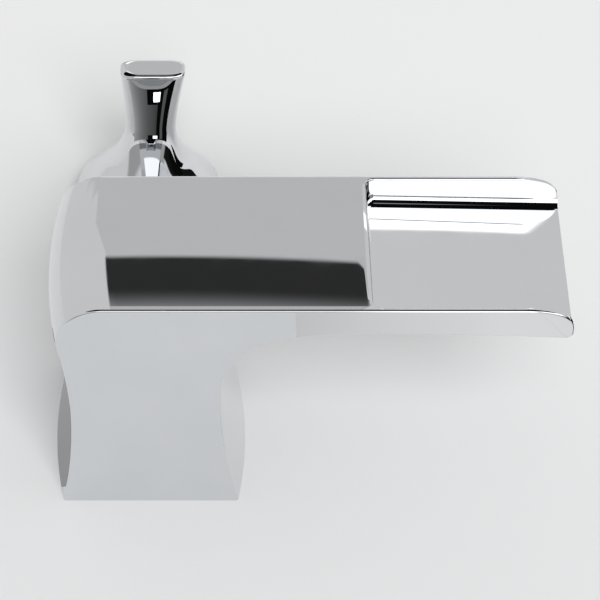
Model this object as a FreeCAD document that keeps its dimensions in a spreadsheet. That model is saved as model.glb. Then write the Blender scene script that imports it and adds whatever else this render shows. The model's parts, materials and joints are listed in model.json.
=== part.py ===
"""Two-hole waterfall basin mixer: a cast spout on its own shank and a joystick control beside it.

+Z is up, +X is the way the water runs, +Y is the control's side. The origin is the middle of the
column's foot, on the deck. All sizes are in millimetres.
"""
import FreeCAD, Part
import math
import os
import re
import Sketcher

# Driving sizes, one name each.
SIZES = {
    # outline of the spout casting
    "spout_width": 59.3,
    "spout_height": 88.0,
    "spout_reach": 128.7,
    "base_half": 28.0,
    "foot_shift": 1.1,
    "plan_bulge": 2.8,
    "belly": 2.0,
    "rear_waist": 25.0,
    "rear_waist_height": 36.0,
    "rear_flare_radius": 165.0,
    "bend_radius": 14.6,
    "front_waist": 21.9,
    "front_straight": 4.0,
    "throat_radius": 20.0,
    "arch_radius": 70.0,
    "arch_apex": 60.0,
    "plate_thickness": 10.3,
    "tip_thickness": 12.2,
    "tip_ease_radius": 32.0,
    "tip_ease_length": 10.0,
    "tip_nose_radius": 7.3,
    "tip_corner_radius": 2.2,
    "edge_round": 0.8,
    # waterfall channel and the water's way to it
    "channel_start": 68.6,
    "channel_wall": 1.7,
    "channel_depth": 9.0,
    "channel_fall": 1.6,
    "channel_fillet": 3.0,
    "duct_width": 46.0,
    "duct_height": 4.4,
    "duct_roof": 2.8,
    "riser_half": 17.0,
    "riser_floor": 14.0,
    "former_length": 9.0,
    "former_wall": 1.0,
    "former_cells": 12,
    # shank and fixings
    "deck_thickness": 20.0,
    "shank_radius": 10.5,
    "shank_bore": 6.5,
    "shank_length": 54.0,
    "shank_collar": 13.2,
    "shank_collar_height": 3.0,
    "seal_inner": 15.5,
    "seal_outer": 22.0,
    "seal_depth": 1.6,
    "ring_radius": 1.2,
    "rubber_thickness": 3.0,
    "washer_thickness": 2.0,
    "nut_height": 8.0,
    "spout_washer_radius": 22.0,
    "spout_nut_radius": 17.3,
    "control_washer_radius": 24.0,
    "control_nut_radius": 23.0,
    # control housing
    "control_spacing": 106.6,
    "valve_shank_radius": 15.8,
    "flange_radius": 17.5,
    "flange_height": 4.0,
    "neck_radius": 15.0,
    "neck_height": 9.5,
    "pocket_radius": 12.6,
    "pocket_depth": 31.0,
    "valve_floor": 17.0,
    "port_circle": 7.4,
    "port_radius": 2.4,
    "port_seal_wall": 1.2,
    "port_seal_height": 1.0,
    "socket_radius": 4.6,
    "socket_depth": 10.0,
    "escutcheon_radius": 20.0,
    "escutcheon_top": 16.6,
    "escutcheon_step": 3.0,
    "escutcheon_seal_radius": 19.0,
    "escutcheon_seal_depth": 1.2,
    # cartridge
    "cartridge_base_height": 5.0,
    "fixed_disc_radius": 11.2,
    "disc_height": 4.0,
    "moving_disc_radius": 7.6,
    "mix_depth": 1.6,
    "mix_radius": 5.0,
    "carrier_height": 5.5,
    "housing_bore": 11.4,
    "housing_ring_radius": 1.0,
    "housing_ring_depth": 6.0,
    "carrier_floor": 0.7,
    "notch_width": 4.0,
    "notch_depth": 2.0,
    "rotor_radius": 9.4,
    "rotor_flange": 10.9,
    "rotor_flange_height": 2.0,
    "rotor_top": 3.6,
    "nut_bore": 8.8,
    "pin_radius": 1.5,
    "pin_inset": 1.0,
    "stem_width": 6.0,
    "stem_depth": 7.0,
    "stem_foot": 6.0,
    "stem_top": 27.0,
    "ball_arm": 11.0,
    "ball_radius": 2.9,
    "ball_neck_radius": 2.1,
    "slot_half": 7.0,
    # handle
    "rim_height": 8.0,
    "rim_round": 0.6,
    "bell_slope_share": 0.76,
    "flare_arc_radius": 30.0,
    "neck_half_width": 8.7,
    "neck_half_depth": 4.9,
    "handle_waist": 40.0,
    "handle_top": 64.6,
    "lever_half_width": 11.0,
    "lever_half_depth": 4.6,
    "lever_lean": 1.5,
    "lever_round": 1.2,
    "bell_wall": 3.0,
    "bell_roof": 21.0,
    "boss_radius": 6.6,
    "boss_foot": 13.5,
    "screw_radius": 2.0,
    "screw_length": 4.3,
    "screw_height": 24.5,
    "plug_length": 2.5,
    "plug_setback": 1.8,
    # crossover tube
    "tube_radius": 5.0,
    "tube_bore": 4.0,
    "tube_bend": 20.0,
    "tube_drop": 34.0,
    "union_radius": 15.6,
    "union_height": 12.0,
    "union_lip": 2.0,
    "fitting_radius": 7.6,
    "fitting_height": 8.0,
    # clearances and cutting allowance
    "overrun": 2.0,
    "running_gap": 0.08,
    "free_gap": 0.3,
    "seat_gap": 0.05,
}

doc = FreeCAD.newDocument("basin_mixer")
sheet = doc.addObject("Spreadsheet::Sheet", "Sizes")
for row, (name, value) in enumerate(SIZES.items(), start=1):
    sheet.set(f"A{row}", name)
    sheet.set(f"B{row}", str(value))
    sheet.setAlias(f"B{row}", name)
doc.recompute()

NAME = re.compile("|".join(sorted((rf"\b{name}\b" for name in SIZES), key=len, reverse=True)))
parts = []


def bound(text):
    """The sheet expression of a sum of size names."""
    return NAME.sub(lambda match: "Sizes." + match.group(0), str(text))


def size(text):
    """The number that a sum of size names comes to."""
    return float(sheet.evalExpression(bound(text)))


def set_sizes(item, **sizes):
    """Bind properties to sums of size names. A dot in a property is written as two underscores."""
    for prop, text in sizes.items():
        item.setExpression(prop.replace("__", "."), bound(text))
    return item


def place(item, x="0", y="0", z="0"):
    """Bind an object's place to sums of size names."""
    base = "Placement__Base__"
    return set_sizes(item, **{base + "x": x, base + "y": y, base + "z": z})


def part(item, label):
    """Label an object as a finished sub-part."""
    item.Label = label
    parts.append(item)
    return item


def origin_plane(body, role):
    """One of a body's own origin planes."""
    return next(item for item in body.Origin.OriginFeatures if item.Role == role)


def outline_sketch(body, name, role, corners):
    """A closed sketch through corners, each held to the origin by two bound distances."""
    sketch = body.newObject("Sketcher::SketchObject", name)
    sketch.AttachmentSupport = [(origin_plane(body, role), "")]
    sketch.MapMode = "FlatFace"
    points = [FreeCAD.Vector(size(u), size(v), 0) for u, v in corners]
    count = len(points)
    for index in range(count):
        sketch.addGeometry(Part.LineSegment(points[index], points[(index + 1) % count]))
    for index in range(count):
        sketch.addConstraint(Sketcher.Constraint("Coincident", index, 2, (index + 1) % count, 1))
    for index, texts in enumerate(corners):
        for kind, axis, text in zip(("DistanceX", "DistanceY"), (-2, -1), texts):
            if str(text) == "0":
                sketch.addConstraint(Sketcher.Constraint("PointOnObject", index, 1, axis))
                continue
            hold = sketch.addConstraint(Sketcher.Constraint(kind, -1, 1, index, 1, size(text)))
            title = f"{kind}_{index}"
            sketch.renameConstraint(hold, title)
            sketch.setExpression("Constraints." + title, bound(text))
    return sketch


def turned(name, corners, **where):
    """A body turned about Z from a half outline of (radius, height) corners."""
    body = doc.addObject("PartDesign::Body", name)
    sketch = outline_sketch(body, name + "_outline", "XZ_Plane", corners)
    turn = body.newObject("PartDesign::Revolution", name + "_turn")
    turn.Profile = sketch
    turn.ReferenceAxis = (sketch, ["V_Axis"])
    turn.Angle = 360
    return place(body, **where)


def ring(name, inner, outer, height, **where):
    """A turned ring of plain rectangular section."""
    return turned(name, [(inner, "0"), (outer, "0"), (outer, height), (inner, height)], **where)


def rod(name, radius, height, **where):
    """A plain upright cylinder."""
    item = doc.addObject("Part::Cylinder", name)
    return place(set_sizes(item, Radius=radius, Height=height), **where)


def block(name, length, width, height, **where):
    """A plain box from its low corner."""
    item = doc.addObject("Part::Box", name)
    return place(set_sizes(item, Length=length, Width=width, Height=height), **where)


ALONG_X = FreeCAD.Rotation(FreeCAD.Vector(0, 1, 0), 90)
ALONG_Y = FreeCAD.Rotation(FreeCAD.Vector(1, 0, 0), -90)


def lying_rod(name, radius, height, turn, **where):
    """A cylinder laid along X or Y."""
    item = rod(name, radius, height, **where)
    item.Placement.Rotation = turn
    return item


def minus(name, base, *tools):
    """A base with tools cut out of it."""
    tool = tools[0]
    if len(tools) > 1:
        tool = doc.addObject("Part::MultiFuse", name + "_tools")
        tool.Shapes = list(tools)
    item = doc.addObject("Part::Cut", name)
    item.Base = base
    item.Tool = tool
    return item


def plus(name, *items):
    """Several solids joined into one."""
    item = doc.addObject("Part::MultiFuse", name)
    item.Shapes = list(items)
    item.Refine = True
    return item


def formed(name, shape):
    """A sculpted solid worked out from the sheet's sizes."""
    item = doc.addObject("Part::Feature", name)
    item.Shape = shape
    return item


def arc_about(centre, start, end):
    """The shorter arc about a centre from start to end, as an edge in the XZ plane's own (x, z)."""
    middle = (start - centre).normalize() + (end - centre).normalize()
    middle = centre + middle.normalize() * (start - centre).Length
    return Part.Arc(start, middle, end).toShape()


def spout_outline(y):
    """The casting's side outline at a distance y from its middle plane.

    The rear and front bow outwards by plan_bulge, and the underside sags by belly, at the middle.
    """
    fullness = 1 - (2 * y / size("spout_width")) ** 2
    bow = size("plan_bulge") * fullness
    sag = size("belly") * fullness

    def at(x, z):
        return FreeCAD.Vector(x, y, z)

    top = size("spout_height")
    foot = size("base_half") + bow
    rear_x = -(size("rear_waist") + bow)
    rear_z = size("rear_waist_height")
    rear_waist = at(rear_x, rear_z)
    rear_foot = at(-foot, 0)
    dip = -foot - rear_x
    lower = (rear_z ** 2 + dip ** 2) / (2 * -dip)
    lower_centre = at(rear_x - lower, rear_z)

    flare = size("rear_flare_radius")
    bend = size("bend_radius")
    flare_centre = at(rear_x - flare, rear_z)
    bend_z = top - bend
    bend_x = flare_centre.x + math.sqrt((flare + bend) ** 2 - (bend_z - rear_z) ** 2)
    bend_centre = at(bend_x, bend_z)
    shoulder = flare_centre + (bend_centre - flare_centre).normalize() * flare
    crown = at(bend_x, top)

    tip = size("spout_reach")
    ease = size("tip_ease_radius")
    ease_turn = math.asin(size("tip_ease_length") / ease)
    nose = size("tip_nose_radius")
    nose_x = tip - nose
    nose_z = top - ease * (1 - math.cos(ease_turn)) - nose * math.cos(ease_turn)
    nose_start = at(nose_x + nose * math.sin(ease_turn), nose_z + nose * math.cos(ease_turn))
    ease_start = at(nose_start.x - size("tip_ease_length"), top)
    ease_centre = at(ease_start.x, top - ease)
    nose_centre = at(nose_x, nose_z)
    nose_end = at(tip, nose_z)

    corner = size("tip_corner_radius")
    lip_z = top - size("tip_thickness") - sag
    corner_centre = at(tip - corner, lip_z + corner)
    corner_start = at(tip, lip_z + corner)
    corner_end = at(tip - corner, lip_z)

    apex_z = top - size("plate_thickness") - sag
    apex = at(size("arch_apex"), apex_z)
    fall = apex_z - lip_z
    run = corner_end.x - apex.x
    sweep = (run ** 2 + fall ** 2) / (2 * fall)
    sweep_centre = at(apex.x, apex_z - sweep)

    arch = size("arch_radius")
    throat = size("throat_radius")
    front_x = size("front_waist") + bow
    arch_centre = at(apex.x, apex_z - arch)
    throat_x = front_x + throat
    throat_z = arch_centre.z + math.sqrt((arch - throat) ** 2 - (apex.x - throat_x) ** 2)
    throat_centre = at(throat_x, throat_z)
    meeting = arch_centre + (throat_centre - arch_centre).normalize() * arch
    throat_end = at(front_x, throat_z)
    front_z = throat_z - size("front_straight")
    front_waist = at(front_x, front_z)
    front_foot = at(foot, 0)
    spread = foot - front_x
    front_lower = (front_z ** 2 + spread ** 2) / (2 * spread)
    front_centre = at(front_x + front_lower, front_z)

    sole = size("overrun")
    rear_sole = at(-foot, -sole)
    front_sole = at(foot, -sole)
    return Part.Wire([
        Part.LineSegment(rear_sole, rear_foot).toShape(),
        arc_about(lower_centre, rear_foot, rear_waist),
        arc_about(flare_centre, rear_waist, shoulder),
        arc_about(bend_centre, shoulder, crown),
        Part.LineSegment(crown, ease_start).toShape(),
        arc_about(ease_centre, ease_start, nose_start),
        arc_about(nose_centre, nose_start, nose_end),
        Part.LineSegment(nose_end, corner_start).toShape(),
        arc_about(corner_centre, corner_start, corner_end),
        arc_about(sweep_centre, corner_end, apex),
        arc_about(arch_centre, apex, meeting),
        arc_about(throat_centre, meeting, throat_end),
        Part.LineSegment(throat_end, front_waist).toShape(),
        arc_about(front_centre, front_waist, front_foot),
        Part.LineSegment(front_foot, front_sole).toShape(),
        Part.LineSegment(front_sole, rear_sole).toShape(),
    ])


def spout_form():
    """The casting's outside: a loft through its side outlines, with rounded long edges."""
    half = size("spout_width / 2")
    loft = Part.makeLoft([spout_outline(y) for y in (-half, 0, half)], True, False)
    long_edges = []
    for edge in loft.Edges:
        box = edge.BoundBox
        if box.YLength < size("seat_gap") and box.ZMin > -size("seat_gap"):
            long_edges.append(edge)
    loft = loft.makeFillet(size("edge_round"), long_edges)
    loft.translate(FreeCAD.Vector(size("foot_shift"), 0, 0))
    return loft


def channel_tool():
    """The waterfall channel: open at the top and the tip, with a rounded floor and rear corners."""
    body = doc.addObject("PartDesign::Body", "channel_tool")
    floor = "spout_height - channel_depth"
    brim = "spout_height + overrun"
    mouth = "foot_shift + spout_reach + overrun"
    sketch = outline_sketch(body, "channel_outline", "XZ_Plane", [
        ("channel_start", brim),
        ("channel_start", floor),
        (mouth, floor + " - channel_fall"),
        (mouth, brim),
    ])
    pad = body.newObject("PartDesign::Pad", "channel_pad")
    pad.Profile = sketch
    pad.Midplane = True
    set_sizes(pad, Length="spout_width - 2 * channel_wall")
    doc.recompute()
    inner = []
    for index, edge in enumerate(pad.Shape.Edges, start=1):
        middle = edge.CenterOfMass
        if middle.z < size("spout_height") and middle.x < size("spout_reach"):
            inner.append(f"Edge{index}")
    fillet = body.newObject("PartDesign::Fillet", "channel_fillet")
    fillet.Base = (pad, inner)
    set_sizes(fillet, Radius="channel_fillet")
    return body


def make_spout():
    """The cast column and spout, with its channel, its water way and the seats in its foot."""
    form = formed("spout_form", spout_form())
    sole = block(
        "sole_cut", "2 * (base_half + plan_bulge + overrun)", "spout_width + 2 * overrun", "2 * overrun",
        x="foot_shift - base_half - plan_bulge - overrun", y="-spout_width / 2 - overrun", z="-2 * overrun",
    )
    roof = "spout_height - duct_roof"
    riser = block(
        "riser", "2 * riser_half", "duct_width", roof + " - riser_floor",
        x="-riser_half", y="-duct_width / 2", z="riser_floor",
    )
    duct = block(
        "duct", "channel_start + overrun", "duct_width", "duct_height",
        y="-duct_width / 2", z=roof + " - duct_height",
    )
    thread = rod("shank_hole", "shank_radius + seat_gap", "riser_floor + 2 * overrun", z="-overrun")
    collar = rod(
        "collar_seat", "shank_collar + seat_gap",
        "shank_collar_height + 2 * ring_radius + 2 * seat_gap + overrun", z="-overrun",
    )
    groove = ring("seal_groove", "seal_inner", "seal_outer", "seal_depth + overrun", z="-overrun")
    part(minus("spout_cast", form, sole, channel_tool(), riser, duct, thread, collar, groove), "spout_body")


def make_outlet_former():
    """The vaned insert in the slot of the channel's rear wall."""
    width = "(duct_width - 2 * seat_gap)"
    height = "(duct_height - 2 * seat_gap)"
    where = {"x": "channel_start - former_length", "y": "-duct_width / 2 + seat_gap"}
    low = "spout_height - duct_roof - duct_height + seat_gap"
    bar = block("former_bar", "former_length", width, height, z=low, **where)
    cell = f"(({width} - former_wall) / former_cells)"
    cells = []
    for index in range(SIZES["former_cells"]):
        cells.append(block(
            f"former_cell_{index}", "former_length + 2 * overrun", f"{cell} - former_wall",
            f"{height} - 2 * former_wall", x="channel_start - former_length - overrun",
            y=f"-duct_width / 2 + seat_gap + former_wall + {index} * {cell}", z=low + " + former_wall",
        ))
    part(minus("former_cut", bar, *cells), "outlet_former")


def make_spout_fixings():
    """Shank, seals, washers and nut that hold the column on the deck."""
    part(turned("shank_turning", [
        ("shank_bore", "0"),
        ("shank_radius", "0"),
        ("shank_radius", "shank_length"),
        ("shank_collar", "shank_length"),
        ("shank_collar", "shank_length + shank_collar_height"),
        ("shank_radius", "shank_length + shank_collar_height"),
        ("shank_radius", "shank_length + riser_floor"),
        ("shank_bore", "shank_length + riser_floor"),
    ], z="-shank_length"), "spout_shank")
    seal = doc.addObject("Part::Torus", "shank_o_ring")
    set_sizes(seal, Radius1="shank_radius + ring_radius + seat_gap", Radius2="ring_radius")
    part(place(seal, z="shank_collar_height + ring_radius + seat_gap"), "shank_seal_ring")
    part(ring(
        "base_seal_ring", "seal_inner + seat_gap", "seal_outer - seat_gap", "seal_depth",
    ), "spout_base_seal")
    clamp_stack("spout", "shank_radius", "spout_washer_radius", "spout_nut_radius", "0")


def clamp_stack(owner, shank, washer, nut, y):
    """Rubber washer, steel washer and lock nut on a shank, below the deck."""
    rubber_low = "-deck_thickness - rubber_thickness"
    washer_low = rubber_low + " - washer_thickness"
    hole = shank + " + seat_gap"
    part(ring(owner + "_rubber", hole, washer, "rubber_thickness", y=y, z=rubber_low),
         owner + "_rubber_washer")
    part(ring(owner + "_steel", hole, washer, "washer_thickness", y=y, z=washer_low),
         owner + "_clamp_washer")
    low = washer_low + " - nut_height"
    part(hex_nut(owner + "_nut", nut, "nut_height", hole, y, low), owner + "_lock_nut")


HEX_SIDES = 6


def hex_nut(name, across, height, hole, y, low):
    """A hexagon bar with a round hole through it."""
    bar = doc.addObject("Part::Prism", name + "_bar")
    bar.Polygon = HEX_SIDES
    place(set_sizes(bar, Circumradius=across, Height=height), y=y, z=low)
    bore = rod(name + "_bore", hole, height + " + 2 * overrun", y=y, z=low + " - overrun")
    return minus(name, bar, bore)


# Heights in the control, from the housing's foot up.
VALVE_LOW = "-pocket_depth - valve_floor"
BASE_TOP = "-pocket_depth + cartridge_base_height"
FIXED_TOP = BASE_TOP + " + disc_height"
MOVING_LOW = FIXED_TOP + " + seat_gap"
CARRIER_LOW = MOVING_LOW + " + disc_height"
CARRIER_TOP = CARRIER_LOW + " + carrier_height"
ROTOR_LOW = CARRIER_TOP + " + free_gap"
BALL = CARRIER_LOW + " + carrier_floor + free_gap + ball_radius"
PIVOT = BALL + " + ball_arm"

# The ports' directions round the control's axis, in degrees.
PORT_TURNS = (-90, 30, 150)


def port_places():
    """The three water ports round the control's axis: mixed towards the spout, then hot and cold."""
    places = []
    for turn in PORT_TURNS:
        places.append((f"port_circle * cos({turn} deg)", f"control_spacing + port_circle * sin({turn} deg)"))
    return places


def make_valve_body():
    """The control's brass housing: shank, flange and neck round the cartridge pocket, with its ports."""
    top = "pocket_depth + valve_floor + neck_height"
    floor = "valve_floor"
    low = VALVE_LOW
    bar = turned("valve_turning", [
        ("0", "0"),
        ("valve_shank_radius", "0"),
        ("valve_shank_radius", "pocket_depth + valve_floor"),
        ("flange_radius", "pocket_depth + valve_floor"),
        ("flange_radius", "pocket_depth + valve_floor + flange_height"),
        ("neck_radius", "pocket_depth + valve_floor + flange_height"),
        ("neck_radius", top),
        ("pocket_radius", top),
        ("pocket_radius", floor),
        ("0", floor),
    ], y="control_spacing", z=low)
    cuts = []
    for index, (x, y) in enumerate(port_places()):
        cuts.append(rod(
            f"valve_port_{index}", "port_radius", "valve_floor + 2 * overrun",
            x=x, y=y, z=low + " - overrun",
        ))
        cuts.append(rod(
            f"valve_socket_{index}", "socket_radius", "socket_depth + overrun",
            x=x, y=y, z=low + " - overrun",
        ))
    part(minus("valve_cut", bar, *cuts), "valve_body")


def make_control_trim():
    """Ring on the deck under the bell, its seal, and the fixings under the deck."""
    seal_top = "escutcheon_seal_depth + seat_gap"
    step = "flange_height + seat_gap"
    part(turned("escutcheon_turning", [
        ("escutcheon_seal_radius", "0"),
        ("escutcheon_radius", "0"),
        ("escutcheon_radius", "escutcheon_step"),
        ("escutcheon_top", "neck_height"),
        ("neck_radius + seat_gap", "neck_height"),
        ("neck_radius + seat_gap", step),
        ("flange_radius + seat_gap", step),
        ("flange_radius + seat_gap", seal_top),
        ("escutcheon_seal_radius", seal_top),
    ], y="control_spacing"), "escutcheon")
    part(ring(
        "escutcheon_rubber", "flange_radius + seat_gap", "escutcheon_seal_radius - seat_gap",
        "escutcheon_seal_depth", y="control_spacing",
    ), "escutcheon_seal")
    clamp_stack("control", "valve_shank_radius", "control_washer_radius", "control_nut_radius",
                "control_spacing")


def make_cartridge_shell():
    """The parts of the cartridge that stay still."""
    base = rod(
        "base_bar", "pocket_radius - seat_gap", "cartridge_base_height",
        y="control_spacing", z="-pocket_depth",
    )
    disc = rod("disc_bar", "fixed_disc_radius", "disc_height", y="control_spacing", z=BASE_TOP)
    base_cuts, disc_cuts, seals = [], [], []
    for index, (x, y) in enumerate(port_places()):
        base_cuts.append(rod(
            f"base_port_{index}", "port_radius", "cartridge_base_height + 2 * overrun",
            x=x, y=y, z="-pocket_depth - overrun",
        ))
        base_cuts.append(rod(
            f"base_seat_{index}", "port_radius + port_seal_wall + seat_gap", "port_seal_height + overrun",
            x=x, y=y, z="-pocket_depth - overrun",
        ))
        disc_cuts.append(rod(
            f"disc_port_{index}", "port_radius", "disc_height + 2 * overrun", x=x, y=y,
            z=BASE_TOP + " - overrun",
        ))
        seals.append(ring(
            f"port_seal_{index}", "port_radius", "port_radius + port_seal_wall", "port_seal_height",
            x=x, y=y, z="-pocket_depth",
        ))
    part(minus("base_cut", base, *base_cuts), "cartridge_base")
    part(minus("disc_cut", disc, *disc_cuts), "fixed_disc")
    group = doc.addObject("Part::Compound", "port_seal_group")
    group.Links = seals
    part(group, "port_seals")

    low = BASE_TOP
    tall = f"flange_height - ({low})"
    shoulder = f"({ROTOR_LOW}) + rotor_flange_height + seat_gap - ({low})"
    outer = "pocket_radius - seat_gap"
    bore = "rotor_radius + running_gap"
    ring_floor = f"{outer} - 2 * housing_ring_radius - seat_gap"
    ring_high = f"{tall} - housing_ring_depth"
    ring_low = f"{ring_high} - 2 * housing_ring_radius - 2 * seat_gap"
    part(turned("housing_turning", [
        ("housing_bore", "0"),
        (outer, "0"),
        (outer, ring_low),
        (ring_floor, ring_low),
        (ring_floor, ring_high),
        (outer, ring_high),
        (outer, tall),
        (bore, tall),
        (bore, shoulder),
        ("housing_bore", shoulder),
    ], y="control_spacing", z=low), "cartridge_housing")
    seal = doc.addObject("Part::Torus", "housing_o_ring")
    set_sizes(seal, Radius1=f"{outer} - housing_ring_radius", Radius2="housing_ring_radius")
    part(place(
        seal, y="control_spacing", z="flange_height - housing_ring_depth - housing_ring_radius - seat_gap",
    ), "housing_seal_ring")

    nut = ring(
        "nut_ring", "nut_bore", outer, "neck_height - flange_height", y="control_spacing", z="flange_height",
    )
    notches = block(
        "nut_notches", "notch_width", "2 * pocket_radius + 2 * overrun", "notch_depth + overrun",
        x="-notch_width / 2", y="control_spacing - pocket_radius - overrun", z="neck_height - notch_depth",
    )
    part(minus("nut_cut", nut, notches), "retaining_nut")


def make_cartridge_movers():
    """Rotor and pin, the stem that rocks on the pin, and the carrier and disc that the stem's ball drives."""
    axis = {"y": "control_spacing"}
    rotor_bar = turned("rotor_turning", [
        ("0", "0"),
        ("rotor_flange", "0"),
        ("rotor_flange", "rotor_flange_height"),
        ("rotor_radius", "rotor_flange_height"),
        ("rotor_radius", f"rotor_top - ({ROTOR_LOW})"),
        ("0", f"rotor_top - ({ROTOR_LOW})"),
    ], z=ROTOR_LOW, **axis)
    slot = block(
        "rotor_slot", "stem_width + 2 * free_gap", "2 * slot_half",
        f"rotor_top - ({ROTOR_LOW}) + 2 * overrun",
        x="-stem_width / 2 - free_gap", y="control_spacing - slot_half", z=ROTOR_LOW + " - overrun",
    )
    pin_hole = lying_rod(
        "rotor_pin_hole", "pin_radius", "2 * (rotor_radius - pin_inset)", ALONG_X,
        x="pin_inset - rotor_radius", z=PIVOT, **axis,
    )
    part(minus("rotor_cut", rotor_bar, slot, pin_hole), "rotor")
    part(lying_rod(
        "pivot_rod", "pin_radius", "2 * (rotor_radius - pin_inset)", ALONG_X,
        x="pin_inset - rotor_radius", z=PIVOT, **axis,
    ), "pivot_pin")

    foot = PIVOT + " - stem_foot"
    bar = block(
        "stem_bar", "stem_width", "stem_depth", f"stem_top - ({foot})",
        x="-stem_width / 2", y="control_spacing - stem_depth / 2", z=foot,
    )
    neck = rod(
        "stem_neck", "ball_neck_radius", "ball_arm - stem_foot + overrun",
        z=BALL, **axis,
    )
    ball = doc.addObject("Part::Sphere", "stem_ball")
    place(set_sizes(ball, Radius="ball_radius"), z=BALL, **axis)
    eye = lying_rod(
        "stem_eye", "pin_radius + running_gap", "stem_width + 2 * overrun", ALONG_X,
        x="-stem_width / 2 - overrun", z=PIVOT, **axis,
    )
    part(minus("stem_cut", plus("stem_blank", bar, neck, ball), eye), "stem")

    carrier = rod("carrier_bar", "moving_disc_radius", "carrier_height", z=CARRIER_LOW, **axis)
    socket = rod(
        "carrier_socket", "ball_radius + free_gap", "carrier_height",
        z=CARRIER_LOW + " + carrier_floor", **axis,
    )
    part(minus("carrier_cut", carrier, socket), "disc_carrier")
    disc = rod("moving_bar", "moving_disc_radius", "disc_height", z=MOVING_LOW, **axis)
    mix = rod("mix_pocket", "mix_radius", "mix_depth + overrun", z=MOVING_LOW + " - overrun", **axis)
    part(minus("moving_cut", disc, mix), "moving_disc")


# Where the handle's sections lie, as shares of its height above the rim, and how square the lever's are.
SECTION_SHARES = (0, 0.1, 0.2, 0.3, 0.42, 0.57, 0.72, 0.86, 0.95, 1)
SECTION_POINTS = 40
ROUND_POWER = 2.0
NECK_POWER = 3.0
LEVER_POWER = 4.5
FRONT_POWER = 3.0
LEVER_FRONT_POWER = 4.0
LEVER_EASE_POWER = 1.6
LEVER_FULL_SHARE = 0.95


def smooth(share):
    """A smooth step from 0 to 1."""
    share = min(max(share, 0), 1)
    return share * share * (3 - 2 * share)


BELL_TURN = "atan(bell_slope_share)"
BELL_RIM = (
    f"(neck_half_width + flare_arc_radius * (1 - cos({BELL_TURN}))"
    f" + (handle_waist - rim_height - flare_arc_radius * sin({BELL_TURN})) * bell_slope_share)"
)


def bell_radius(height):
    """The bell's half width: a straight cone that an arc turns upright at the handle's waist."""
    slope = size("bell_slope_share")
    radius = size("flare_arc_radius")
    turn = math.atan(slope)
    down = size("handle_waist") - height
    arc_down = radius * math.sin(turn)
    if down <= arc_down:
        return size("neck_half_width") + radius - math.sqrt(radius ** 2 - max(down, 0) ** 2)
    return size("neck_half_width") + radius * (1 - math.cos(turn)) + (down - arc_down) * slope


def handle_section(share):
    """A closed smooth section: round at the bell, and flatter and squarer at the lever."""
    rim, top = size("rim_height"), size("handle_top")
    roof, waist = size("bell_roof"), size("handle_waist")
    height = rim + share * (top - rim)
    squash = smooth((height - roof) / (waist - roof))
    rise = min(max((height - waist) / (LEVER_FULL_SHARE * (top - waist)), 0), 1)
    spread = rise ** LEVER_EASE_POWER
    neck_wide, neck_deep = size("neck_half_width"), size("neck_half_depth")
    wide = bell_radius(height) + spread * (size("lever_half_width") - neck_wide)
    deep = bell_radius(height) - squash * (neck_wide - neck_deep)
    deep += spread * (size("lever_half_depth") - neck_deep)
    back = ROUND_POWER + squash * (NECK_POWER - ROUND_POWER) + spread * (LEVER_POWER - NECK_POWER)
    front = ROUND_POWER + squash * (FRONT_POWER - ROUND_POWER) + spread * (LEVER_FRONT_POWER - FRONT_POWER)
    lean = size("lever_lean") * share
    points = []
    for step in range(SECTION_POINTS):
        turn = 2 * math.pi * step / SECTION_POINTS
        across, along = math.cos(turn), math.sin(turn)
        power = back if along > 0 else front
        x = math.copysign(abs(across) ** (2 / power), across) * wide
        y = math.copysign(abs(along) ** (2 / power), along) * deep
        points.append(FreeCAD.Vector(x + lean, y + size("control_spacing"), height))
    curve = Part.BSplineCurve()
    curve.interpolate(points, PeriodicFlag=True)
    return Part.Wire([curve.toShape()])


def handle_form():
    """The handle's outside: a loft through its sections, with the lever's top and the rim rounded."""
    loft = Part.makeLoft([handle_section(share) for share in SECTION_SHARES], True, False)
    top = [edge for edge in loft.Edges if edge.BoundBox.ZMin > size("handle_top - lever_round")]
    loft = loft.makeFillet(size("lever_round"), top)
    rim = [edge for edge in loft.Edges if edge.BoundBox.ZMax < size("rim_height + rim_round")]
    return loft.makeFillet(size("rim_round"), rim)


def make_handle():
    """The bell and lever, hollow below, with the stem's socket and the screw that holds it."""
    axis = {"y": "control_spacing"}
    form = formed("handle_form", handle_form())
    inner_rim = BELL_RIM + " - bell_wall"
    mouth = "rim_height - overrun"
    hollow = turned("bell_hollow", [
        ("0", "0"),
        (f"{inner_rim} + overrun * bell_slope_share", "0"),
        (f"{inner_rim} - (bell_roof - rim_height) * bell_slope_share", f"bell_roof - ({mouth})"),
        ("0", f"bell_roof - ({mouth})"),
    ], z=mouth, **axis)
    boss = rod("handle_boss", "boss_radius", "bell_roof + overrun - boss_foot", z="boss_foot", **axis)
    socket = block(
        "stem_socket", "stem_width + 2 * seat_gap", "stem_depth + 2 * seat_gap",
        "stem_top + seat_gap - boss_foot + overrun", x="-stem_width / 2 - seat_gap",
        y="control_spacing - stem_depth / 2 - seat_gap", z="boss_foot - overrun",
    )
    screw_hole = lying_rod(
        "screw_hole", "screw_radius + seat_gap", BELL_RIM, ALONG_Y, z="screw_height", **axis,
    )
    shell = plus("handle_shell", minus("handle_hollowed", form, hollow), boss)
    part(minus("handle_cut", shell, socket, screw_hole), "handle")
    part(lying_rod(
        "grub_screw", "screw_radius", "screw_length", ALONG_Y,
        y="control_spacing + stem_depth / 2", z="screw_height",
    ), "handle_screw")
    flare = "flare_arc_radius"
    share = "((screw_height - bell_roof) / (handle_waist - bell_roof))"
    surface = (
        f"neck_half_width + {flare} - sqrt({flare} ^ 2 - (handle_waist - screw_height) ^ 2)"
        f" - {share} ^ 2 * (3 - 2 * {share}) * (neck_half_width - neck_half_depth)"
    )
    part(lying_rod(
        "plug_rod", "screw_radius", "plug_length", ALONG_Y,
        y=f"control_spacing + {surface} - plug_setback - plug_length", z="screw_height",
    ), "screw_plug")


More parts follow.
